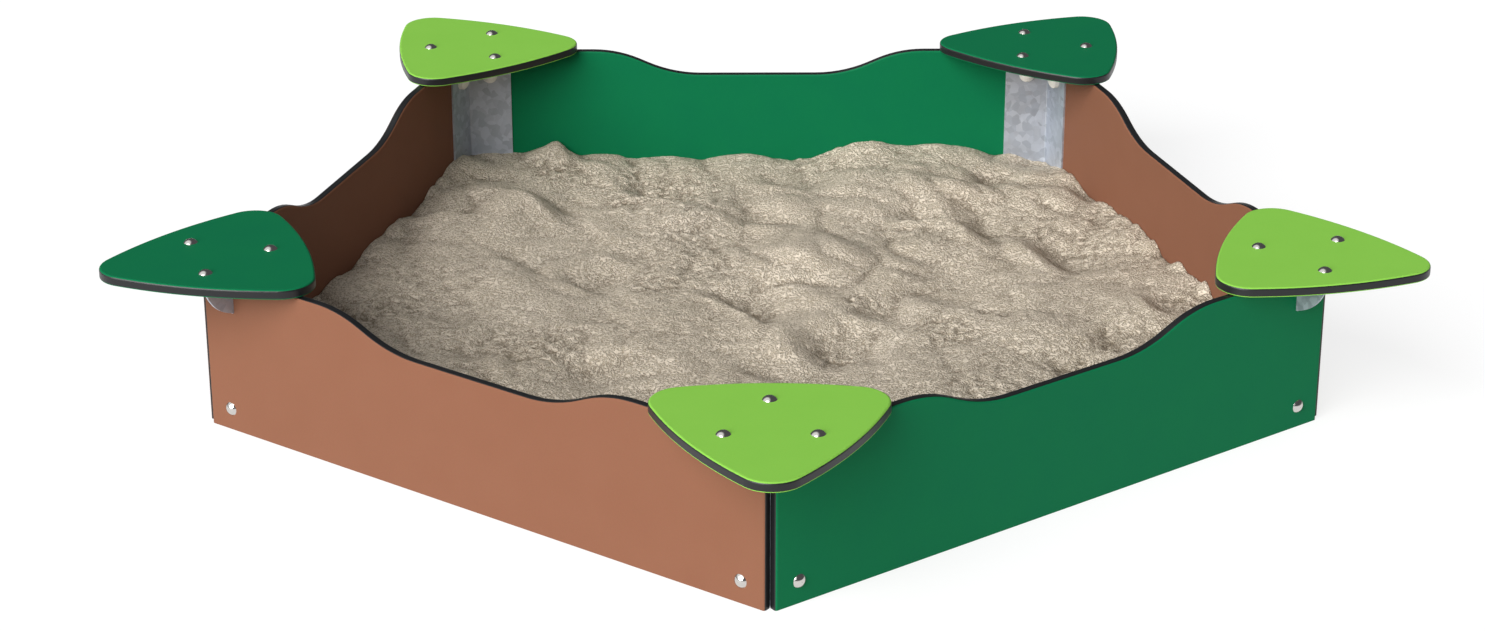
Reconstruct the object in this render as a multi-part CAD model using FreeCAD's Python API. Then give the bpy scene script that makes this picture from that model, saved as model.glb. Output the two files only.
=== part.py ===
import FreeCAD, Part
import math
import os
from FreeCAD import Matrix, Placement, Rotation, Vector

# Five-sided sandbox: five boards stand on the ground round a bed of sand, and a seat lies on each corner.
# Millimetres, +Z up.  The origin is the middle of the five sides, on the ground.  One corner points to -Y.

# ---- driving dimensions ----
SIDES = 5
board_side = 1360.0          # corner to corner, measured on the outer faces
board_height = 328.5         # at the ends of a board
board_thickness = 19.0
end_gap = 1.0                # air between the rounded inner edges of two neighbouring boards
edge_round = 5.0             # routed edges of boards, and the upper edge of a seat
board_corner_round = 12.0    # top corners of a board, seen from the front

dip_depth = 57.0             # how far the middle of a board's top edge lies below its ends
dip_flat = 263.0             # level stretch in the middle of the dip
dip_radius = 294.0           # hollow curve at the foot of each shoulder
crest_radius = 259.0         # rounded curve at the top of each shoulder
shoulder_slope = 24.0        # steepest part of a shoulder, in degrees

seat_thickness = 19.0
seat_under_round = 1.5       # lower edge of a seat
seat_gap = 2.5               # air between a board's top edge and the seat
seat_inset = 49.0            # seat centre, inside the corner of the outer faces
seat_side_reach = 165.7      # seat centre to the middle of a side
seat_tip_reach = 238.1       # seat centre to the tip of a rounded corner
seat_tip_radius = 63.6
seat_bolt_circle = 189.0     # three bolts round the seat centre

plate = 4.0                  # galvanised steel plate
bend_inside = 3.0            # inner bend radius of the corner angles
flange_margin = 47.5         # from the board bolts to the free edge of a corner angle's flange
nose_radius = 15.0           # rounded corners of the shelf that is welded in the corner angle
nose_half_width = 24.0
shelf_side = 78.0            # how far the shelf runs along each flange

bracket_width = 48.0
bracket_drop = 75.5          # height of a bracket's leg on the board
bracket_edge = 27.7          # from a seat bolt to the free edge of the bracket
cheek_belly = 68.0           # from the bracket's inner corner to the middle of the curved cheek edge

board_bolt_inset = 65.0      # board bolts, from the corner of the outer faces
board_bolt_low = 44.0
board_bolt_drop = 54.5       # upper board bolts, below the top of a board's end

shank_diameter = 12.0
head_diameter = 27.5
head_height = 7.0
neck_depth = 5.5             # square neck under the dome head
bolt_end = 3.0               # thread that stands out past the nut
tip_chamfer = 1.0
nut_flats = 19.0
nut_height = 10.0
nut_face_share = 0.97        # round flat face at each end of a nut, as a share of the width across its flats
washer_diameter = 24.0
washer_thickness = 2.5
cap_diameter = 35.0
cap_rim = 9.0                # straight part of a nut cap
cap_wall = 2.0
cap_air = 1.2                # over the tip of the bolt

sand_depth = 80.0

# ---- clearances ----
hole_clearance = 0.5         # round a bolt shank and its square neck
thread_clearance = 0.15      # between a shank and its nut, in place of the thread
cap_clearance = 0.15         # between a cap and the washer that it is pushed over
sand_clearance = 1.0         # between the sand and the boards

# ---- derived values ----
half_turn = 180.0 / SIDES
half = math.radians(half_turn)
corner_radius = board_side / (2 * math.sin(half))
apothem = corner_radius * math.cos(half)
inner_apothem = apothem - board_thickness
inner_corner_radius = inner_apothem / math.cos(half)
inner_corner_inset = board_thickness * math.tan(half)
# Rounding lets the board ends come this much closer to the plane that halves the corner.
round_relief = edge_round * (math.cos(half) + math.sin(half) - 1)
end_inset = inner_corner_inset + (end_gap / 2 - round_relief) / math.cos(half)
half_length = board_side / 2 - end_inset

seat_bottom = board_height + seat_gap
seat_top = seat_bottom + seat_thickness
seat_radius = corner_radius - seat_inset
bolt_ring = seat_bolt_circle / 2
board_bolt_high = board_height - board_bolt_drop

hole_radius = shank_diameter / 2 + hole_clearance
cap_cavity = washer_diameter / 2 + cap_clearance
cap_inside = washer_thickness + nut_height + bolt_end + cap_air
cap_height = cap_inside + cap_wall

# outer seat bolts, measured from the corner: along the board and out from its face
bolt_radial = bolt_ring * math.cos(math.radians(60)) - seat_inset
bolt_tangential = bolt_ring * math.sin(math.radians(60))
seat_bolt_inset = bolt_tangential * math.cos(half) - bolt_radial * math.sin(half)
seat_bolt_out = bolt_tangential * math.sin(half) + bolt_radial * math.cos(half)
bracket_inset = (board_bolt_inset + seat_bolt_inset) / 2
bracket_reach = seat_bolt_out + bracket_edge

# Corner names and bearings, and the boards between them.  A bearing is an angle about +Z from +X.
CORNERS = {"front": -90.0, "right": -18.0, "back_right": 54.0, "back_left": 126.0, "left": 198.0}
BOARDS = {"front_right": -54.0, "back_right": 18.0, "back": 90.0, "back_left": 162.0, "front_left": -126.0}


def export(shape, node):
    if not shape.isValid():
        print("invalid shape:", node)
    shape.exportStep("parts/" + node + ".step")
    print(node, len(shape.Solids), "solid(s)", round(shape.Volume / 1000.0, 1), "cm3")


def turned(shape, angle):
    """A copy of the shape, turned about the vertical axis through the origin."""
    copy = shape.copy()
    copy.rotate(Vector(0, 0, 0), Vector(0, 0, 1), angle)
    return copy


def mirrored_x(shape):
    """A copy of the shape, mirrored across the YZ plane."""
    return shape.mirror(Vector(0, 0, 0), Vector(1, 0, 0))


def line(a, b):
    return Part.LineSegment(a, b).toShape()


def arc(a, mid, b):
    return Part.Arc(a, mid, b).toShape()


def round_arc(centre, radius, start, end, plane):
    """An arc from its centre, radius and two angles in degrees. plane makes a point of two numbers."""
    points = []
    for share in (0.0, 0.5, 1.0):
        angle = math.radians(start + (end - start) * share)
        points.append(plane(centre[0] + radius * math.cos(angle), centre[1] + radius * math.sin(angle)))
    return arc(points[0], points[1], points[2])


# ---- bolts, nuts, washers and caps, made along +Z with the clamped face at z = 0 ----
def dome_bolt(grip):
    """A dome-head bolt with a square neck. grip is the length from under the head to the tip."""
    sphere_radius = ((head_diameter / 2) ** 2 + head_height ** 2) / (2 * head_height)
    sphere = Part.makeSphere(sphere_radius, Vector(0, 0, head_height - sphere_radius))
    head = sphere.common(Part.makeCylinder(head_diameter, 2 * head_height))
    neck = Part.makeBox(shank_diameter, shank_diameter, neck_depth,
                        Vector(-shank_diameter / 2, -shank_diameter / 2, -neck_depth))
    shank = Part.makeCylinder(shank_diameter / 2, grip, Vector(0, 0, -grip))
    tip = [edge for edge in shank.Edges if edge.BoundBox.ZMax < 0.01 - grip]
    shank = shank.makeChamfer(tip_chamfer, tip)
    return head.fuse([neck, shank]).removeSplitter()


def bolt_hole(depth):
    """What a bolt hole removes: a round bore with a square seat for the neck."""
    side = shank_diameter + 2 * hole_clearance
    neck = Part.makeBox(side, side, neck_depth + hole_clearance,
                        Vector(-side / 2, -side / 2, -neck_depth - hole_clearance))
    return Part.makeCylinder(hole_radius, depth, Vector(0, 0, -depth)).fuse(neck)


def washer():
    ring = Part.makeCylinder(washer_diameter / 2, washer_thickness)
    return ring.cut(Part.makeCylinder(hole_radius, washer_thickness))


def hex_nut():
    corners = []
    corner_reach = nut_flats / 2 / math.cos(math.radians(30))
    for step in range(7):
        angle = math.radians(60 * step)
        corners.append(Vector(corner_reach * math.cos(angle), corner_reach * math.sin(angle), 0))
    block = Part.Face(Part.makePolygon(corners)).extrude(Vector(0, 0, nut_height))
    # A blunt cone over each end takes the corners of the hexagon off.
    flat = nut_flats / 2 * nut_face_share
    slope = math.tan(math.radians(30))
    reach = flat + nut_height / slope
    upper = Part.makeCone(reach, flat, nut_height)
    lower = Part.makeCone(flat, reach, nut_height)
    bore = Part.makeCylinder(shank_diameter / 2 + thread_clearance, nut_height)
    return block.common(upper).common(lower).cut(bore)


def nut_cap():
    """A domed plastic cap, open underneath, that is pushed over the washer and hides the nut."""
    rise = cap_height - cap_rim
    dome_radius = ((cap_diameter / 2) ** 2 + rise ** 2) / (2 * rise)
    centre = Vector(0, 0, cap_height - dome_radius)
    outside = Part.makeCylinder(cap_diameter / 2, cap_height).common(Part.makeSphere(dome_radius, centre))
    inside = Part.makeCylinder(cap_cavity, cap_height).common(Part.makeSphere(dome_radius - cap_wall, centre))
    return outside.cut(inside)


# ---- boards ----
def board_outline():
    """The board seen from outside: X along the board, Z up, on the plane of its outer face."""
    rise = dip_depth
    slope = math.radians(shoulder_slope)
    slope = min(slope, math.acos(max(-1.0, 1 - rise / (dip_radius + crest_radius))))
    straight = (rise - (dip_radius + crest_radius) * (1 - math.cos(slope))) / math.sin(slope)
    low = board_height - dip_depth
    foot = dip_flat / 2
    run = (dip_radius + crest_radius) * math.sin(slope) + straight * math.cos(slope)
    crest = foot + run
    degrees = math.degrees(slope)

    def on_face(x, z):
        return Vector(x, apothem, z)

    def right_half():
        dip = round_arc((foot, low + dip_radius), dip_radius, -90, -90 + degrees, on_face)
        top = round_arc((crest, board_height - crest_radius), crest_radius, 90 + degrees, 90, on_face)
        end_x = half_length - board_corner_round
        end_z = board_height - board_corner_round
        corner = round_arc((end_x, end_z), board_corner_round, 90, 0, on_face)
        joins = [line(on_face(0, low), on_face(foot, low)), dip]
        if straight > 0.01:
            joins.append(line(dip.lastVertex().Point, top.firstVertex().Point))
        joins.append(top)
        joins.append(line(on_face(crest, board_height), on_face(end_x, board_height)))
        joins.append(corner)
        joins.append(line(on_face(half_length, end_z), on_face(half_length, 0)))
        joins.append(line(on_face(half_length, 0), on_face(0, 0)))
        return joins

    edges = right_half()
    other = [mirrored_x(edge) for edge in edges]
    return Part.Wire(Part.__sortEdges__(edges + other))


def plain_board():
    """One board in its own place: outer face on +Y, with routed edges and four bolt holes."""
    body = Part.Face(board_outline()).extrude(Vector(0, -board_thickness, 0))
    body = body.removeSplitter()
    rounded = []
    for edge in body.Edges:
        flat = edge.BoundBox.YLength < 0.01
        on_ground = edge.BoundBox.ZMax < 0.01
        if flat and not on_ground:
            rounded.append(edge)
    body = body.makeFillet(edge_round, rounded)
    for side in (1, -1):
        for height, outer in board_bolt_rows():
            hole = along_y(bolt_hole(board_thickness + plate + hole_clearance), side, height, apothem + outer)
            body = body.cut(hole)
    return body


def board_bolt_rows():
    """Height of each bolt of a board end, and how far its head stands off the outer face."""
    return ((board_bolt_low, 0.0), (board_bolt_high, plate))


def along_y(shape, side, height, y, inset=board_bolt_inset):
    """Places a shape made along +Z so that it points outwards from a board, near one of its ends."""
    copy = shape.copy()
    turn = Rotation(Vector(1, 0, 0), -90)
    copy.Placement = Placement(Vector(side * (board_side / 2 - inset), y, height), turn)
    return copy


def inwards(shape, side, height, y):
    """As along_y, but pointing into the sandbox."""
    copy = shape.copy()
    turn = Rotation(Vector(1, 0, 0), 90)
    copy.Placement = Placement(Vector(side * (board_side / 2 - board_bolt_inset), y, height), turn)
    return copy


# ---- seats, made with the seat centre on the origin and the outer tip on +X ----
def seat_outline():
    """Three gently bowed sides that run smoothly into three rounded corners."""
    tip = seat_tip_reach - seat_tip_radius
    # The side's arc is tangent to both corner arcs, and its middle lies seat_side_reach from the centre.
    numerator = seat_side_reach ** 2 + tip ** 2 - seat_side_reach * tip - seat_tip_radius ** 2
    side_radius = numerator / (2 * seat_side_reach - tip - 2 * seat_tip_radius)
    side_centre = side_radius - seat_side_reach
    # Half of the corner arc's sweep, from the line that joins the two centres.
    sweep = math.degrees(math.atan2(tip * math.sin(math.radians(60)),
                                    side_centre + tip * math.cos(math.radians(60))))
    edges = []
    for turn in (0, 120, 240):
        at = math.radians(turn)
        corner = (tip * math.cos(at), tip * math.sin(at))
        lower = turn - 60 + sweep
        upper = turn + 60 - sweep
        edges.append(round_arc(corner, seat_tip_radius, lower, upper, flat_point))
        away = math.radians(turn + 240)
        middle = (side_centre * math.cos(away), side_centre * math.sin(away))
        edges.append(round_arc(middle, side_radius, upper, turn + 120 - 60 + sweep, flat_point))
    return Part.Wire(Part.__sortEdges__(edges))


def flat_point(x, y):
    return Vector(x, y, 0)


def seat_bolt_places():
    """The inner bolt and the two outer ones, from the seat centre."""
    places = []
    for turn in (180, 60, -60):
        at = math.radians(turn)
        places.append(Vector(bolt_ring * math.cos(at), bolt_ring * math.sin(at), 0))
    return places


def plain_seat():
    body = Part.Face(seat_outline()).extrude(Vector(0, 0, seat_thickness))
    upper = [edge for edge in body.Edges if edge.BoundBox.ZMin > seat_thickness - 0.01]
    body = body.makeFillet(edge_round, upper)
    lower = [edge for edge in body.Edges if edge.BoundBox.ZMax < 0.01]
    body = body.makeFillet(seat_under_round, lower)
    for place in seat_bolt_places():
        hole = bolt_hole(seat_thickness + hole_clearance)
        hole.translate(place + Vector(0, 0, seat_thickness))
        body = body.cut(hole)
    body.translate(Vector(seat_radius, 0, seat_bottom))
    return body


# ---- corner angles, made with the corner on +X ----
def flange_points(offset, reach):
    """The fold and the free end of one flange face, offset inwards from the boards' inner faces."""
    fold = Vector(inner_corner_radius - offset / math.cos(half), 0, 0)
    along = Vector(-math.sin(half), math.cos(half), 0)
    start = Vector((inner_apothem - offset) * math.cos(half), (inner_apothem - offset) * math.sin(half), 0)
    foot = board_side / 2 - reach
    return fold, start - along * foot


def corner_angle():
    """A plate folded to fit inside the corner, with a shelf welded in at the top for the inner seat bolt."""
    reach = board_bolt_inset + flange_margin
    outer_fold, outer_end = flange_points(0.0, reach)
    inner_fold, inner_end = flange_points(plate, reach)
    flip = Matrix()
    flip.A22 = -1
    outline = [outer_fold, outer_end, inner_end, inner_fold, flip * inner_end, flip * outer_end, outer_fold]
    angle = Part.Face(Part.makePolygon(outline)).extrude(Vector(0, 0, seat_bottom))
    outer_edge = [edge for edge in angle.Edges if stands_at(edge, outer_fold)]
    angle = angle.makeFillet(bend_inside + plate, outer_edge)
    inner_edge = [edge for edge in angle.Edges if stands_at(edge, inner_fold)]
    angle = angle.makeFillet(bend_inside, inner_edge)
    angle = angle.fuse(welded_shelf()).removeSplitter()
    drill_foot = Vector(seat_radius - bolt_ring, 0, seat_bottom - 3 * plate)
    angle = angle.cut(Part.makeCylinder(hole_radius, 4 * plate, drill_foot))
    for side in (1, -1):
        for height, outer in board_bolt_rows():
            bore = Part.makeCylinder(hole_radius, 4 * plate, Vector(0, 0, -2 * plate))
            angle = angle.cut(at_board_end(along_y(bore, side, height, inner_apothem), side))
    return angle


def stands_at(edge, point):
    """True for an upright edge over a point of the plan."""
    box = edge.BoundBox
    same = abs(box.Center.x - point.x) < 0.01 and abs(box.Center.y - point.y) < 0.01
    return same and box.XLength < 0.01 and box.YLength < 0.01


def welded_shelf():
    fold, side = flange_points(plate / 2, inner_corner_inset + shelf_side)
    nose = seat_radius - bolt_ring - nose_half_width
    points = [fold, side, Vector(nose, nose_half_width, 0), Vector(nose, -nose_half_width, 0),
              Vector(side.x, -side.y, 0), fold]
    shelf = Part.Face(Part.makePolygon(points)).extrude(Vector(0, 0, plate))
    front = [edge for edge in shelf.Edges if edge.BoundBox.ZLength > 1 and edge.BoundBox.XMax < nose + 1]
    shelf = shelf.makeFillet(nose_radius, front)
    shelf.translate(Vector(0, 0, seat_bottom - plate))
    return shelf


def at_board_end(shape, side):
    """Turns a shape from a board's own place to the corner on +X. side is 1 on the left-turning board."""
    return turned(shape, side * half_turn - 90)


# ---- seat brackets, made on a board in its own place ----
def seat_bracket(side):
    """Plate bent to an L, outside the board and under the seat. A curved cheek ties its far end."""
    middle = side * (board_side / 2 - bracket_inset)
    low_x = middle - bracket_width / 2
    leg = Part.makeBox(bracket_width, plate, bracket_drop, Vector(low_x, apothem, seat_bottom - bracket_drop))
    shelf = Part.makeBox(bracket_width, bracket_reach, plate, Vector(low_x, apothem, seat_bottom - plate))
    # The cheek stands at the end away from the corner.
    x = low_x if side > 0 else low_x + bracket_width - plate
    inner = Vector(x, apothem, seat_bottom)
    outer = Vector(x, apothem + bracket_reach, seat_bottom)
    lip = Vector(x, apothem + bracket_reach, seat_bottom - plate)
    belly = cheek_belly * math.sin(math.radians(45))
    bulge = Vector(x, apothem + belly, seat_bottom - belly)
    low = Vector(x, apothem, seat_bottom - bracket_drop)
    outline = Part.Wire([line(inner, outer), line(outer, lip), arc(lip, bulge, low), line(low, inner)])
    cheek = Part.Face(outline).extrude(Vector(plate, 0, 0))
    body = leg.fuse([shelf, cheek]).removeSplitter()
    hole = bolt_hole(board_thickness)
    body = body.cut(along_y(hole, side, board_bolt_high, apothem + plate))
    seat_hole = Part.makeCylinder(hole_radius, 4 * plate)
    x = side * (board_side / 2 - seat_bolt_inset)
    seat_hole.translate(Vector(x, apothem + seat_bolt_out, seat_bottom - 2 * plate))
    return body.cut(seat_hole)


# ---- fasteners of one corner, with the corner on +X ----
def seat_fasteners():
    """Three bolts, nuts and washers that hold a seat down."""
    grip = seat_thickness + plate + washer_thickness + nut_height + bolt_end
    bolts = []
    nuts = []
    washers = []
    for place in seat_bolt_places():
        at = place + Vector(seat_radius, 0, 0)
        bolt = dome_bolt(grip)
        bolt.translate(at + Vector(0, 0, seat_top))
        bolts.append(bolt)
        under_plate = seat_bottom - plate
        ring = washer()
        ring.translate(at + Vector(0, 0, under_plate - washer_thickness))
        washers.append(ring)
        nut = hex_nut()
        nut.translate(at + Vector(0, 0, under_plate - washer_thickness - nut_height))
        nuts.append(nut)
    return bolts, nuts, washers


def board_fasteners():
    """Four bolts, nuts, washers and caps that hold two board ends to the corner angle."""
    bolts = []
    nuts = []
    washers = []
    caps = []
    inside = inner_apothem - plate
    for side in (1, -1):
        for height, outer in board_bolt_rows():
            grip = outer + board_thickness + plate + washer_thickness + nut_height + bolt_end
            bolt = along_y(dome_bolt(grip), side, height, apothem + outer)
            bolts.append(at_board_end(bolt, side))
            ring = inwards(washer(), side, height, inside)
            washers.append(at_board_end(ring, side))
            nut = inwards(hex_nut(), side, height, inside - washer_thickness)
            nuts.append(at_board_end(nut, side))
            cap = inwards(nut_cap(), side, height, inside)
            caps.append(at_board_end(cap, side))
    return bolts, nuts, washers, caps


# ---- sand ----
def sand_fill():
    """A bed of sand inside the boards, kept clear of the corner angles and of the lower nut caps."""
    reach = (inner_apothem - sand_clearance) / math.cos(half)
    corners = []
    for index in range(SIDES + 1):
        at = math.radians(CORNERS["front"] + 360.0 / SIDES * index)
        corners.append(Vector(reach * math.cos(at), reach * math.sin(at), 0))
    bed = Part.Face(Part.makePolygon(corners)).extrude(Vector(0, 0, sand_depth))
    # Each corner is cut off square to its bearing, behind the flange edges and the caps.
    slant = math.radians(90 - half_turn)
    along_flange = board_bolt_inset + flange_margin - inner_corner_inset
    along_cap = board_bolt_inset + cap_diameter / 2 - inner_corner_inset
    flange_clear = along_flange * math.cos(slant) + plate * math.sin(slant)
    cap_clear = along_cap * math.cos(slant) + (plate + cap_height) * math.sin(slant)
    cut_at = inner_corner_radius - max(flange_clear, cap_clear) - 2 * sand_clearance
    block = Part.makeBox(corner_radius, board_side, sand_depth, Vector(cut_at, -board_side / 2, 0))
    for bearing in CORNERS.values():
        bed = bed.cut(turned(block, bearing))
    return bed


def group(solids, bearing):
    return Part.makeCompound([turned(solid, bearing) for solid in solids])


os.makedirs("parts", exist_ok=True)

board = plain_board()
for name, bearing in BOARDS.items():
    export(turned(board, bearing - 90), "board_" + name)

seat = plain_seat()
angle = corner_angle()
right_bracket = at_board_end(seat_bracket(1), 1)
left_bracket = at_board_end(seat_bracket(-1), -1)
seat_bolts, seat_nuts, seat_washers = seat_fasteners()
board_bolts, board_nuts, board_washers, caps = board_fasteners()
for name, bearing in CORNERS.items():
    export(turned(seat, bearing), "seat_" + name)
    export(turned(angle, bearing), "corner_angle_" + name)
    export(turned(right_bracket, bearing), "seat_bracket_" + name + "_right_hand")
    export(turned(left_bracket, bearing), "seat_bracket_" + name + "_left_hand")
    export(group(seat_bolts, bearing), "seat_bolts_" + name)
    export(group(seat_nuts, bearing), "seat_nuts_" + name)
    export(group(seat_washers + board_washers, bearing), "washers_" + name)
    export(group(board_bolts, bearing), "board_bolts_" + name)
    export(group(board_nuts, bearing), "board_nuts_" + name)
    export(group(caps, bearing), "nut_caps_" + name)

export(sand_fill(), "sand_fill")
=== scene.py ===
import math
import random
import bmesh
import bpy
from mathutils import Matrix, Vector, noise


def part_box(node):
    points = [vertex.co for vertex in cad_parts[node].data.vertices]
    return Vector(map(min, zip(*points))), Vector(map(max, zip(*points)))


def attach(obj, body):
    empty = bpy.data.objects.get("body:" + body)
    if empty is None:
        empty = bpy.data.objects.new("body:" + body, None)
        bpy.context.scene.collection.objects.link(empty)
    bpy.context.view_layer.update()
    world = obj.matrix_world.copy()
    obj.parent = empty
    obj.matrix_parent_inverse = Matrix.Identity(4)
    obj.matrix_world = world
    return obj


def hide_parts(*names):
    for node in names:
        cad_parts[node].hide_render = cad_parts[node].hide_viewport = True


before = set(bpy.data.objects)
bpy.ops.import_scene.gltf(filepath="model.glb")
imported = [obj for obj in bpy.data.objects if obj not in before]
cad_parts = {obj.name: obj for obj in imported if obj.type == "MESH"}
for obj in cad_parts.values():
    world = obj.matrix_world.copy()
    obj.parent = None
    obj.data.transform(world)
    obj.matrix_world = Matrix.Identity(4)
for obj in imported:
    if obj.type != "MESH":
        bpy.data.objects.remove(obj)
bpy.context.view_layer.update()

# ---- Camera ----
# A standing grown-up's view of the whole sandbox from in front of its forward corner, with a long lens.
camera_data = bpy.data.cameras.new("camera")
camera_data.sensor_width = 36.0
camera_data.lens = 82.1
camera = bpy.data.objects.new("camera", camera_data)
camera.location = (-0.080, -6.420, 2.867)
camera.rotation_euler = (math.radians(66.45), 0.0, math.radians(-0.34))
bpy.context.scene.collection.objects.link(camera)
bpy.context.scene.camera = camera
bpy.context.scene.view_settings.view_transform = "Standard"


# ---- Studio ----
# A white floor that glows a little, as a light table does, under one broad soft light from the front left.
# The room is dim, with a white panel high on the left that only shiny metal picks up.
def linear(hex_colour):
    """An sRGB colour such as "85c04d" as linear red, green, blue and alpha."""
    channels = []
    for start in (0, 2, 4):
        value = int(hex_colour[start:start + 2], 16) / 255
        channels.append(value / 12.92 if value <= 0.04045 else ((value + 0.055) / 1.055) ** 2.4)
    return (channels[0], channels[1], channels[2], 1.0)


def per_metre(size):
    """The scale of a pattern whose marks are that many millimetres wide."""
    return 1000.0 / size


def towards(bearing, height=0.0):
    """A unit vector from a bearing about +Z and a height above the horizon, in degrees."""
    turn, lift = math.radians(bearing), math.radians(height)
    return Vector((math.cos(turn) * math.cos(lift), math.sin(turn) * math.cos(lift), math.sin(lift)))


def add_node(tree, kind, inputs=None, **settings):
    """Adds a node. An input is set, or is linked where it is given a socket or a node's first live output."""
    node = tree.nodes.new(kind)
    for name, value in settings.items():
        setattr(node, name, value)
    for key, value in (inputs or {}).items():
        socket = node.inputs[key]
        if isinstance(key, str):
            socket = [other for other in node.inputs if other.enabled and other.name == key][0]
        if isinstance(value, bpy.types.Node):
            value = [output for output in value.outputs if output.enabled][0]
        if isinstance(value, bpy.types.NodeSocket):
            tree.links.new(value, socket)
        else:
            socket.default_value = value
    return node


def new_material(name):
    """An empty node material, its tree, and a socket that gives the place on the piece in metres."""
    material = bpy.data.materials.new(name)
    material.use_nodes = True
    tree = material.node_tree
    tree.nodes.clear()
    return material, tree, add_node(tree, "ShaderNodeTexCoord").outputs["Object"]


def new_piece(name, maker, material):
    """Makes a mesh object from a bmesh."""
    mesh = bpy.data.meshes.new(name)
    maker.to_mesh(mesh)
    maker.free()
    mesh.materials.append(material)
    piece = bpy.data.objects.new(name, mesh)
    bpy.context.scene.collection.objects.link(piece)
    return piece


FLOOR_HALF = 30.0
FLOOR_DROP = 0.0005
white_floor, tree, place = new_material("white_floor_paint")
mottle = add_node(tree, "ShaderNodeTexNoise", {"Vector": place, "Scale": per_metre(600), "Detail": 3.0})
tone = add_node(tree, "ShaderNodeMix", {"Factor": mottle, "A": linear("7e7e7e"), "B": linear("828282")},
                data_type="RGBA")
paint = add_node(tree, "ShaderNodeBsdfPrincipled", {"Base Color": tone, "Roughness": 0.9,
                                                    "Specular IOR Level": 0.1,
                                                    "Emission Color": linear("ffffff"),
                                                    "Emission Strength": 0.79})
add_node(tree, "ShaderNodeOutputMaterial", {"Surface": paint})
maker = bmesh.new()
bmesh.ops.create_grid(maker, x_segments=1, y_segments=1, size=FLOOR_HALF)
floor = new_piece("floor", maker, white_floor)
floor.location.z = -FLOOR_DROP

key_data = bpy.data.lights.new("key_light", "SUN")
key_data.energy = 5.3
key_data.angle = math.radians(52.0)
key = bpy.data.objects.new("key_light", key_data)
key.rotation_euler = towards(-128.5, 31.0).to_track_quat("Z", "Y").to_euler()
bpy.context.scene.collection.objects.link(key)

ROOM_LIGHT = (0.30, 0.305, 0.315, 1.0)
ROOM_DARK = (0.10, 0.10, 0.105, 1.0)
PANEL_LIGHT = (1.05, 1.05, 1.06, 1.0)
panel_edge, panel_middle = math.cos(math.radians(52)), math.cos(math.radians(34))
world = bpy.data.worlds.new("studio_room")
world.use_nodes = True
tree = world.node_tree
tree.nodes.clear()
view = add_node(tree, "ShaderNodeTexCoord").outputs["Generated"]
facing = add_node(tree, "ShaderNodeVectorMath", {0: view, 1: towards(-165.0, 48.0)}, operation="DOT_PRODUCT")
panel = add_node(tree, "ShaderNodeMapRange", {"Value": facing.outputs["Value"], "From Min": panel_edge,
                                              "From Max": panel_middle})
mirrored = add_node(tree, "ShaderNodeMix", {"Factor": panel, "A": ROOM_DARK, "B": PANEL_LIGHT}, data_type="RGBA")
ray = add_node(tree, "ShaderNodeLightPath").outputs
room = add_node(tree, "ShaderNodeMix", {"Factor": ray["Is Glossy Ray"], "A": ROOM_LIGHT, "B": mirrored},
                data_type="RGBA")
seen = add_node(tree, "ShaderNodeMix", {"Factor": ray["Is Camera Ray"], "A": room, "B": linear("ffffff")},
                data_type="RGBA")
glow = add_node(tree, "ShaderNodeBackground", {"Color": seen, "Strength": 1.0})
add_node(tree, "ShaderNodeOutputWorld", {"Surface": glow})
bpy.context.scene.world = world

# ---- Boards and seats ----
# Routed from 19 mm three-layer polyethylene sheet: coloured skins pressed on a black core of recycled plastic.
# The skins are matt, with a faint cloudy tone and a fine pressed grain. The routed and rounded edges show the
# black core, which is shinier and keeps faint cutter lines that run along the edge.
SHEET = 0.019
SKIN = 0.0019
SKIN_BLUR = 0.0001
SIDE_BEARINGS = {"front_right": -54.0, "back_right": 18.0, "back": 90.0, "back_left": 162.0, "front_left": -126.0}
CORNER_BEARINGS = {"front": -90.0, "right": -18.0, "back_right": 54.0, "back_left": 126.0, "left": 198.0}


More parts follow.
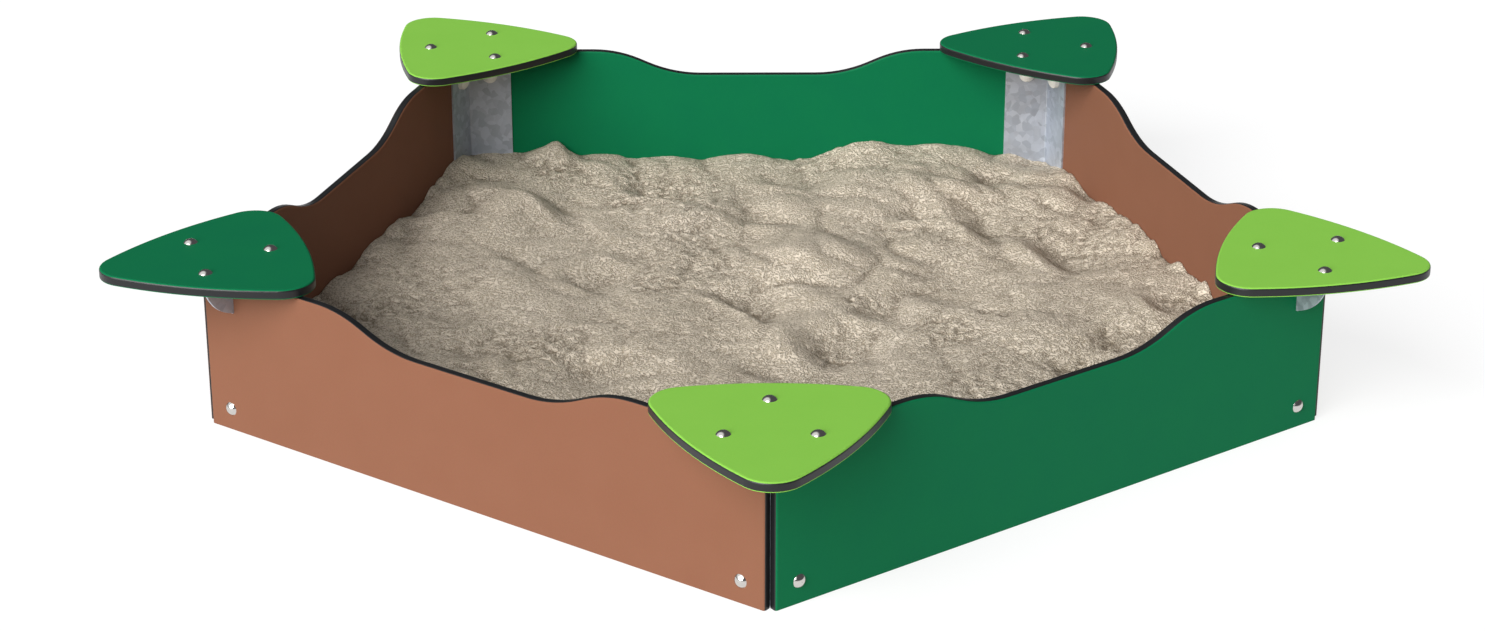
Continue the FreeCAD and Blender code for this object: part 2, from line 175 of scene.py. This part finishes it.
def sheet_plastic(name, skin, skin_shade, middle, bearing=None):
    """Three-layer sheet. middle is where the middle of the sheet lies, up for a seat or out for a board."""
    material, tree, place = new_material(name)
    axis = "Z"
    turned = place
    cutter_lines = (per_metre(60), per_metre(60), per_metre(1.6))
    if bearing is not None:
        axis = "Y"
        turned = add_node(tree, "ShaderNodeMapping", {"Vector": place,
                                                      "Rotation": (0, 0, math.radians(90 - bearing))})
        cutter_lines = (per_metre(60), per_metre(1.6), per_metre(60))
    parts = add_node(tree, "ShaderNodeSeparateXYZ", {"Vector": turned})
    off_middle = add_node(tree, "ShaderNodeMath", {0: parts.outputs[axis], 1: middle}, operation="SUBTRACT")
    depth = add_node(tree, "ShaderNodeMath", {0: off_middle}, operation="ABSOLUTE")
    core_half = SHEET / 2 - SKIN
    in_skin = add_node(tree, "ShaderNodeMapRange", {"Value": depth, "From Min": core_half - SKIN_BLUR,
                                                    "From Max": core_half + SKIN_BLUR})
    cloud = add_node(tree, "ShaderNodeTexNoise", {"Vector": place, "Scale": per_metre(90), "Detail": 4.0})
    fleck = add_node(tree, "ShaderNodeTexNoise", {"Vector": place, "Scale": per_metre(3), "Detail": 2.0})
    tone = add_node(tree, "ShaderNodeMix", {"Factor": cloud, "A": linear(skin), "B": linear(skin_shade)},
                    data_type="RGBA")
    flecked = add_node(tree, "ShaderNodeMix", {"Factor": 0.08, "A": tone, "B": fleck.outputs["Color"]},
                       data_type="RGBA", blend_type="SOFT_LIGHT")
    core = add_node(tree, "ShaderNodeMix", {"Factor": fleck, "A": linear("0f1011"), "B": linear("1a1b1d")},
                    data_type="RGBA")
    colour = add_node(tree, "ShaderNodeMix", {"Factor": in_skin, "A": core, "B": flecked}, data_type="RGBA")
    grain = add_node(tree, "ShaderNodeTexNoise", {"Vector": place, "Scale": per_metre(1.2), "Detail": 2.0})
    grain_bump = add_node(tree, "ShaderNodeBump", {"Height": grain, "Strength": 0.2, "Distance": 0.0003})
    skin_shader = add_node(tree, "ShaderNodeBsdfPrincipled", {"Base Color": colour, "Roughness": 0.5,
                                                              "Specular IOR Level": 0.05,
                                                              "Normal": grain_bump})
    stretched = add_node(tree, "ShaderNodeMapping", {"Vector": turned, "Scale": cutter_lines})
    line = add_node(tree, "ShaderNodeTexNoise", {"Vector": stretched, "Scale": 1.0, "Detail": 1.0})
    line_bump = add_node(tree, "ShaderNodeBump", {"Height": line, "Strength": 0.5, "Distance": 0.0002,
                                                  "Normal": grain_bump})
    core_shader = add_node(tree, "ShaderNodeBsdfPrincipled", {"Base Color": colour, "Roughness": 0.38,
                                                              "Specular IOR Level": 0.38,
                                                              "Normal": line_bump})
    layers = add_node(tree, "ShaderNodeMixShader", {0: in_skin, 1: core_shader, 2: skin_shader})
    add_node(tree, "ShaderNodeOutputMaterial", {"Surface": layers})
    return material


BROWN = ("7a523f", "764e3b")
DARK_GREEN = ("0b673e", "09623f")
LIGHT_GREEN = ("7fb848", "7ab444")
board_colours = {"front_left": BROWN, "back_left": BROWN, "back_right": BROWN, "back": DARK_GREEN,
                 "front_right": DARK_GREEN}
seat_colours = {"front": LIGHT_GREEN, "right": LIGHT_GREEN, "back_left": LIGHT_GREEN, "left": DARK_GREEN,
                "back_right": DARK_GREEN}
board_low, board_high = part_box("board_back")
board_middle = board_high.y - SHEET / 2
for side, colours in board_colours.items():
    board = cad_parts["board_" + side]
    board.material_slots[0].material = sheet_plastic("polyethylene_sheet_board_" + side, *colours, board_middle,
                                                     SIDE_BEARINGS[side])
seat_low, seat_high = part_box("seat_front")
seat_middle = (seat_low.z + seat_high.z) / 2
for corner, colours in seat_colours.items():
    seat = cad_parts["seat_" + corner]
    seat.material_slots[0].material = sheet_plastic("polyethylene_sheet_seat_" + corner, *colours, seat_middle)

# ---- Corner angles and seat brackets ----
# Cut and folded from 4 mm steel plate, welded, and hot-dip galvanised: a grey zinc coat with large dull crystals,
# slightly lumpy where the zinc ran, and smooth enough to take colour from what stands beside it.
galvanised, tree, place = new_material("hot_dip_galvanised_steel")
warp = add_node(tree, "ShaderNodeTexNoise", {"Vector": place, "Scale": per_metre(30), "Detail": 2.0})
bent = add_node(tree, "ShaderNodeMix", {"Factor": 0.02, "A": place, "B": warp.outputs["Color"]},
                data_type="VECTOR")
crystal = add_node(tree, "ShaderNodeTexVoronoi", {"Vector": bent, "Scale": per_metre(14)})
grey = add_node(tree, "ShaderNodeSeparateXYZ", {"Vector": crystal.outputs["Color"]})
zinc = add_node(tree, "ShaderNodeMix", {"Factor": grey.outputs["X"], "A": linear("a5abb5"), "B": linear("bfc5cf")},
                data_type="RGBA")
dull = add_node(tree, "ShaderNodeMapRange", {"Value": grey.outputs["Y"], "To Min": 0.40, "To Max": 0.56})
lumps = add_node(tree, "ShaderNodeTexNoise", {"Vector": place, "Scale": per_metre(6), "Detail": 3.0})
lump_bump = add_node(tree, "ShaderNodeBump", {"Height": lumps, "Strength": 0.2, "Distance": 0.0006})
steel = add_node(tree, "ShaderNodeBsdfPrincipled", {"Base Color": zinc, "Metallic": 0.65, "Roughness": dull,
                                                    "Normal": lump_bump})
add_node(tree, "ShaderNodeOutputMaterial", {"Surface": steel})
for corner in CORNER_BEARINGS:
    for node in ("corner_angle_" + corner, "seat_bracket_" + corner + "_right_hand",
                 "seat_bracket_" + corner + "_left_hand"):
        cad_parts[node].material_slots[0].material = galvanised

# ---- Bolts, nuts, washers and caps ----
# Polished stainless dome-head bolts with faint smears, and cold-zinc-plated nuts and washers, a little duller.
# The caps are moulded in off-white polyethylene, faintly cloudy, and pushed over the washers by hand.
stainless, tree, place = new_material("polished_stainless_steel")
smear = add_node(tree, "ShaderNodeTexNoise", {"Vector": place, "Scale": per_metre(5), "Detail": 3.0})
polish = add_node(tree, "ShaderNodeMapRange", {"Value": smear, "To Min": 0.10, "To Max": 0.22})
steel = add_node(tree, "ShaderNodeBsdfPrincipled", {"Base Color": linear("cdcac6"), "Metallic": 1.0,
                                                    "Roughness": polish})
add_node(tree, "ShaderNodeOutputMaterial", {"Surface": steel})

plated, tree, place = new_material("zinc_plated_steel")
smear = add_node(tree, "ShaderNodeTexNoise", {"Vector": place, "Scale": per_metre(3), "Detail": 3.0})
polish = add_node(tree, "ShaderNodeMapRange", {"Value": smear, "To Min": 0.28, "To Max": 0.45})
steel = add_node(tree, "ShaderNodeBsdfPrincipled", {"Base Color": linear("c2c3c6"), "Metallic": 1.0,
                                                    "Roughness": polish})
add_node(tree, "ShaderNodeOutputMaterial", {"Surface": steel})

cap_plastic, tree, place = new_material("off_white_polyethylene")
cloud = add_node(tree, "ShaderNodeTexNoise", {"Vector": place, "Scale": per_metre(16), "Detail": 3.0})
white = add_node(tree, "ShaderNodeMix", {"Factor": cloud, "A": linear("f4f2ec"), "B": linear("eae7df")},
                 data_type="RGBA")
shell = add_node(tree, "ShaderNodeBsdfPrincipled", {"Base Color": white, "Roughness": 0.4, "IOR": 1.5})
add_node(tree, "ShaderNodeOutputMaterial", {"Surface": shell})
for corner in CORNER_BEARINGS:
    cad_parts["seat_bolts_" + corner].material_slots[0].material = stainless
    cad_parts["board_bolts_" + corner].material_slots[0].material = stainless
    for group in ("seat_nuts_", "board_nuts_", "washers_"):
        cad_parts[group + corner].material_slots[0].material = plated
    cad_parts["nut_caps_" + corner].material_slots[0].material = cap_plastic

# ---- Sand ----
# Loose pale play sand, slightly damp, trodden and dug over: soft mounds, scooped hollows with one sharp rim, and
# crumbled patches. It holds its shape in small clumps. One closed mesh fills the frame and reaches the boards.
sand_low, sand_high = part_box("sand_fill")
SAND_STEP = 0.0057
SAND_LEVEL = sand_high.z - 0.012
SAND_GAP = 0.0006
TIP_CUT = 0.0035
inner_apothem = board_high.y - SHEET
MOUNDS = (  # x, y, radius, height
    (0.24, 0.92, 0.13, 0.034), (0.40, 0.91, 0.17, 0.030), (-0.48, 0.88, 0.08, 0.036), (-0.70, 0.82, 0.10, 0.026),
    (-0.47, 0.90, 0.03, 0.012), (-0.84, 0.38, 0.10, 0.010), (0.84, 0.42, 0.14, 0.020), (0.92, 0.15, 0.12, 0.014),
    (0.90, 0.235, 0.040, 0.020), (0.93, 0.11, 0.035, 0.016), (0.86, 0.34, 0.040, 0.014),
    (0.80, 0.50, 0.050, 0.010), (0.70, 0.76, 0.030, 0.008), (-0.72, 0.73, 0.030, 0.012),
    (-0.80, 0.46, 0.040, 0.014), (-0.62, 0.52, 0.22, 0.018), (0.30, 0.72, 0.20, 0.020), (-0.20, 0.52, 0.20, 0.014),
    (0.42, 0.36, 0.16, 0.016), (0.16, 0.30, 0.22, 0.018), (-0.55, 0.18, 0.24, 0.016), (0.02, -0.12, 0.16, 0.018),
    (0.56, -0.08, 0.16, 0.014), (0.77, 0.02, 0.14, 0.014), (-0.22, -0.14, 0.20, 0.016), (0.30, -0.36, 0.20, 0.014),
    (-0.10, -0.60, 0.22, 0.012), (-0.52, -0.34, 0.18, 0.014), (0.08, 0.60, 0.12, 0.012), (0.62, 0.62, 0.10, 0.012),
)
HOLLOWS = (  # x, y, half length, half width, bearing of its length, depth; the steep side is on the left
    (0.01, 0.07, 0.15, 0.085, 128.0, 0.028), (0.17, -0.16, 0.11, 0.100, 100.0, 0.028),
    (0.25, 0.02, 0.09, 0.070, 150.0, 0.014), (0.41, 0.16, 0.13, 0.110, 165.0, 0.022),
    (0.37, 0.58, 0.11, 0.080, 175.0, 0.022), (0.55, 0.52, 0.17, 0.120, 104.0, 0.038),
    (0.70, 0.36, 0.16, 0.110, 106.0, 0.040), (0.55, 0.76, 0.07, 0.065, 80.0, 0.016),
    (-0.35, 0.20, 0.09, 0.065, 135.0, 0.022), (0.02, 0.57, 0.10, 0.080, 160.0, 0.014),
    (-0.12, 0.42, 0.12, 0.085, 30.0, 0.014), (-0.43, 0.66, 0.15, 0.095, 130.0, 0.028),
    (-0.19, 0.73, 0.13, 0.085, 145.0, 0.022), (0.46, 0.03, 0.035, 0.024, 100.0, 0.012),
    (0.50, 0.01, 0.035, 0.024, 95.0, 0.010), (0.63, -0.25, 0.09, 0.070, 120.0, 0.018),
    (0.73, -0.13, 0.08, 0.065, 60.0, 0.014), (0.86, 0.05, 0.07, 0.060, 110.0, 0.016),
    (-0.68, 0.08, 0.15, 0.110, 150.0, 0.012), (-0.55, -0.18, 0.13, 0.100, 115.0, 0.016),
    (-0.30, -0.30, 0.13, 0.085, 10.0, 0.014), (0.10, 0.80, 0.13, 0.080, 165.0, 0.012),
    (-0.78, 0.60, 0.09, 0.085, 75.0, 0.024), (-0.88, 0.26, 0.07, 0.060, 80.0, 0.014),
    (0.66, 0.88, 0.11, 0.080, 60.0, 0.018), (0.76, 0.68, 0.07, 0.060, 110.0, 0.018),
    (-0.20, 0.93, 0.12, 0.060, 0.0, 0.012), (0.04, 0.93, 0.09, 0.060, 0.0, 0.014),
)
CRUMBLED = (  # x, y, radius
    (-0.24, 0.16, 0.10), (-0.46, -0.17, 0.13), (0.37, -0.09, 0.11), (0.62, -0.26, 0.10), (0.71, -0.14, 0.09),
    (0.88, 0.06, 0.09), (-0.46, 0.82, 0.09), (-0.02, 0.04, 0.07), (0.14, -0.20, 0.08), (-0.80, 0.02, 0.12),
    (0.20, 0.04, 0.07), (0.60, 0.46, 0.06), (-0.30, 0.62, 0.08),
)
CRUMB_DAMP = 0.25
SMOOTHINGS = 20
CREASE_SHADE_DEPTH = 0.005
TRODDEN = 34
steps = random.Random(5)
trodden = []
for _ in range(TRODDEN):
    trodden.append((steps.uniform(-0.95, 0.95), steps.uniform(-0.85, 0.85), steps.uniform(0.06, 0.12),
                    steps.uniform(0.045, 0.080), steps.uniform(0.0, 180.0), steps.uniform(0.004, 0.009)))


def swell(distance):
    """A smooth hill: 1 at the middle and 0 from a distance of 1 outwards."""
    return (1 - min(distance, 1.0) ** 2) ** 2


def scoop(x, y, hollow):
    """How much a hollow lowers a point: steep down on its left, a long smooth rise on its right, a lip outside."""
    hx, hy, length, width, bearing, depth = hollow
    dx, dy = x - hx, y - hy
    if dx * dx + dy * dy > (1.5 * length) ** 2:
        return 0.0
    away = towards(bearing)
    along = (dx * away.x + dy * away.y) / length
    across = (dx * away.y - dy * away.x) / width
    fade = swell(abs(along) * 0.9)
    if across < -0.5:
        lip = 0.30 * swell(abs(across + 1.20) / 0.60)
        return depth * fade * (max(0.0, 1 - (-0.5 - across) / 0.70) - lip)
    return depth * fade * swell((across + 0.5) / 1.9)


def crumbling(x, y):
    """How crumbled the sand is there, from 0 to 1."""
    share = max(0.0, 0.9 * noise.noise(Vector((x * 3.3, y * 3.3, 21.0))) + 0.10)
    for cx, cy, radius in CRUMBLED:
        share += swell(math.hypot(x - cx, y - cy) / radius)
    return min(share, 1.0)


def sand_height(x, y, crumbled):
    """Height of the sand's surface over a point of the plan."""
    wander = noise.noise_vector(Vector((x * 4.5, y * 4.5, 7.0))) * 0.030
    px, py = x + wander.x, y + wander.y
    height = SAND_LEVEL
    for mx, my, radius, rise in MOUNDS:
        height += rise * swell(math.hypot(px - mx, py - my) / radius)
    height += 0.010 * noise.noise(Vector((px * 2.3, py * 2.3, 1.0)))
    along, across = 0.64 * px - 0.77 * py, 0.77 * px + 0.64 * py
    stirred = 0.5 + 0.7 * noise.noise(Vector((px * 2.1, py * 2.1, 13.0)))
    height += 0.046 * stirred * abs(noise.noise(Vector((along * 3.0, across * 4.6, 3.0)))) ** 0.8
    height += 0.020 * stirred * abs(noise.noise(Vector((along * 8.0, across * 11.0, 5.0))))
    for hollow in HOLLOWS:
        height -= scoop(px, py, hollow)
    for hollow in trodden:
        height -= scoop(px, py, hollow)
    height += 0.0016 * noise.noise(Vector((x * 26.0, y * 26.0, 8.0)))
    clod = noise.fractal(Vector((x * 48.0, y * 48.0, 2.0)), 0.7, 2.1, 2)
    return height + (0.0007 + 0.0065 * crumbled) * clod


maker = bmesh.new()
reach = (inner_apothem - SAND_GAP) / math.cos(math.radians(36))
bmesh.ops.create_grid(maker, x_segments=int(2 * reach / SAND_STEP), y_segments=int(2 * reach / SAND_STEP), size=reach)
cuts = [(towards(bearing), inner_apothem - SAND_GAP) for bearing in SIDE_BEARINGS.values()]
cuts += [(towards(bearing), inner_apothem / math.cos(math.radians(36)) - TIP_CUT)
         for bearing in CORNER_BEARINGS.values()]
for away, distance in cuts:
    everything = maker.verts[:] + maker.edges[:] + maker.faces[:]
    bmesh.ops.bisect_plane(maker, geom=everything, plane_co=away * distance, plane_no=away, clear_outer=True)
# One attribute holds the real damp of the crumbled patches and the painted shade of creases and hollows.
damp_and_crease_shade_layer = maker.verts.layers.float.new("damp_and_crease_shade")
relief = []
for vertex in maker.verts:
    crumbled = crumbling(vertex.co.x, vertex.co.y)
    vertex[damp_and_crease_shade_layer] = CRUMB_DAMP * crumbled
    relief.append(sand_height(vertex.co.x, vertex.co.y, crumbled))
    vertex.co.z = relief[-1]
# The sand is painted darker in creases and hollows, which lie below a smoothed copy of the surface. This is painted
# shade, held in the same attribute as the real damp of the crumbled patches.
for _ in range(SMOOTHINGS):
    bmesh.ops.smooth_vert(maker, verts=maker.verts, factor=0.5, use_axis_z=True)
for vertex, height in zip(maker.verts, relief):
    vertex[damp_and_crease_shade_layer] += (vertex.co.z - height) / CREASE_SHADE_DEPTH
    vertex.co.z = height
rim = [edge for edge in maker.edges if edge.is_boundary]
skirt = bmesh.ops.extrude_edge_only(maker, edges=rim)["geom"]
for item in skirt:
    if isinstance(item, bmesh.types.BMVert):
        item.co.z = sand_low.z + FLOOR_DROP
bmesh.ops.contextual_create(maker, geom=[item for item in skirt if isinstance(item, bmesh.types.BMEdge)])
bmesh.ops.recalc_face_normals(maker, faces=maker.faces[:])
for face in maker.faces:
    face.smooth = abs(face.normal.z) > 0.2
print("sand faces", len(maker.faces))

sand, tree, place = new_material("damp_play_sand")
patch = add_node(tree, "ShaderNodeTexNoise", {"Vector": place, "Scale": per_metre(180), "Detail": 4.0,
                                              "Roughness": 0.6})
tint = add_node(tree, "ShaderNodeMix", {"Factor": patch, "A": linear("c7baa7"), "B": linear("d7cbba")},
                data_type="RGBA")
# The grains are under 1 mm and cling in clumps of about 8 mm with fine cracks between them, which is what shows
# from a few metres away. A crack runs wherever the noise passes through its middle value.
warp = add_node(tree, "ShaderNodeTexNoise", {"Vector": place, "Scale": per_metre(25), "Detail": 2.0})
bent = add_node(tree, "ShaderNodeMix", {"Factor": 0.012, "A": place, "B": warp.outputs["Color"]},
                data_type="VECTOR")
clump = add_node(tree, "ShaderNodeTexNoise", {"Vector": bent, "Scale": per_metre(10), "Detail": 2.5,
                                              "Roughness": 0.65})
off_crack = add_node(tree, "ShaderNodeMath", {0: clump, 1: 0.5}, operation="SUBTRACT")
beside = add_node(tree, "ShaderNodeMath", {0: off_crack}, operation="ABSOLUTE")
top = add_node(tree, "ShaderNodeMapRange", {"Value": beside, "From Max": 0.12}, interpolation_type="SMOOTHSTEP")
grain = add_node(tree, "ShaderNodeTexNoise", {"Vector": place, "Scale": per_metre(2.5), "Detail": 2.0})
# The cracks between clumps are painted darker than the sand, as painted shade in the recesses.
crack_shade_mask = add_node(tree, "ShaderNodeMapRange", {"Value": beside, "From Max": 0.05})
damp_and_crease_shade = add_node(tree, "ShaderNodeAttribute", attribute_name="damp_and_crease_shade")
# The painted crack shade is deeper in creases and hollows, and in the damp crumbled patches.
crack_shade_strength = add_node(tree, "ShaderNodeMapRange", {"Value": damp_and_crease_shade.outputs["Fac"], "From Min": -0.05,
                                                    "From Max": 0.35})
crack_shade_colour = add_node(tree, "ShaderNodeMix", {"Factor": crack_shade_strength, "A": linear("968a75"),
                                                "B": linear("6a5e4c")}, data_type="RGBA")
shaded = add_node(tree, "ShaderNodeMix", {"Factor": crack_shade_mask, "A": crack_shade_colour, "B": tint}, data_type="RGBA")
speckled = add_node(tree, "ShaderNodeMix", {"Factor": 0.4, "A": shaded, "B": grain}, data_type="RGBA",
                    blend_type="SOFT_LIGHT")
# Painted shade in creases and hollows, and the real darkening of damp crumbled patches, darken the sand towards
# 786c5a.
damp_and_crease_shade_amount = add_node(tree, "ShaderNodeMapRange", {"Value": damp_and_crease_shade.outputs["Fac"], "To Max": 0.8})
colour = add_node(tree, "ShaderNodeMix", {"Factor": damp_and_crease_shade_amount, "A": speckled, "B": linear("786c5a")}, data_type="RGBA")
grain_bump = add_node(tree, "ShaderNodeBump", {"Height": grain, "Strength": 0.6, "Distance": 0.0015})
clump_bump = add_node(tree, "ShaderNodeBump", {"Height": top, "Strength": 0.9, "Distance": 0.0030,
                                               "Normal": grain_bump})
loose = add_node(tree, "ShaderNodeBsdfPrincipled", {"Base Color": colour, "Roughness": 0.95,
                                                    "Specular IOR Level": 0.1, "Normal": clump_bump})
add_node(tree, "ShaderNodeOutputMaterial", {"Surface": loose})
sand_piece = new_piece("sand_surface", maker, sand)
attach(sand_piece, "root")
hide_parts("sand_fill")
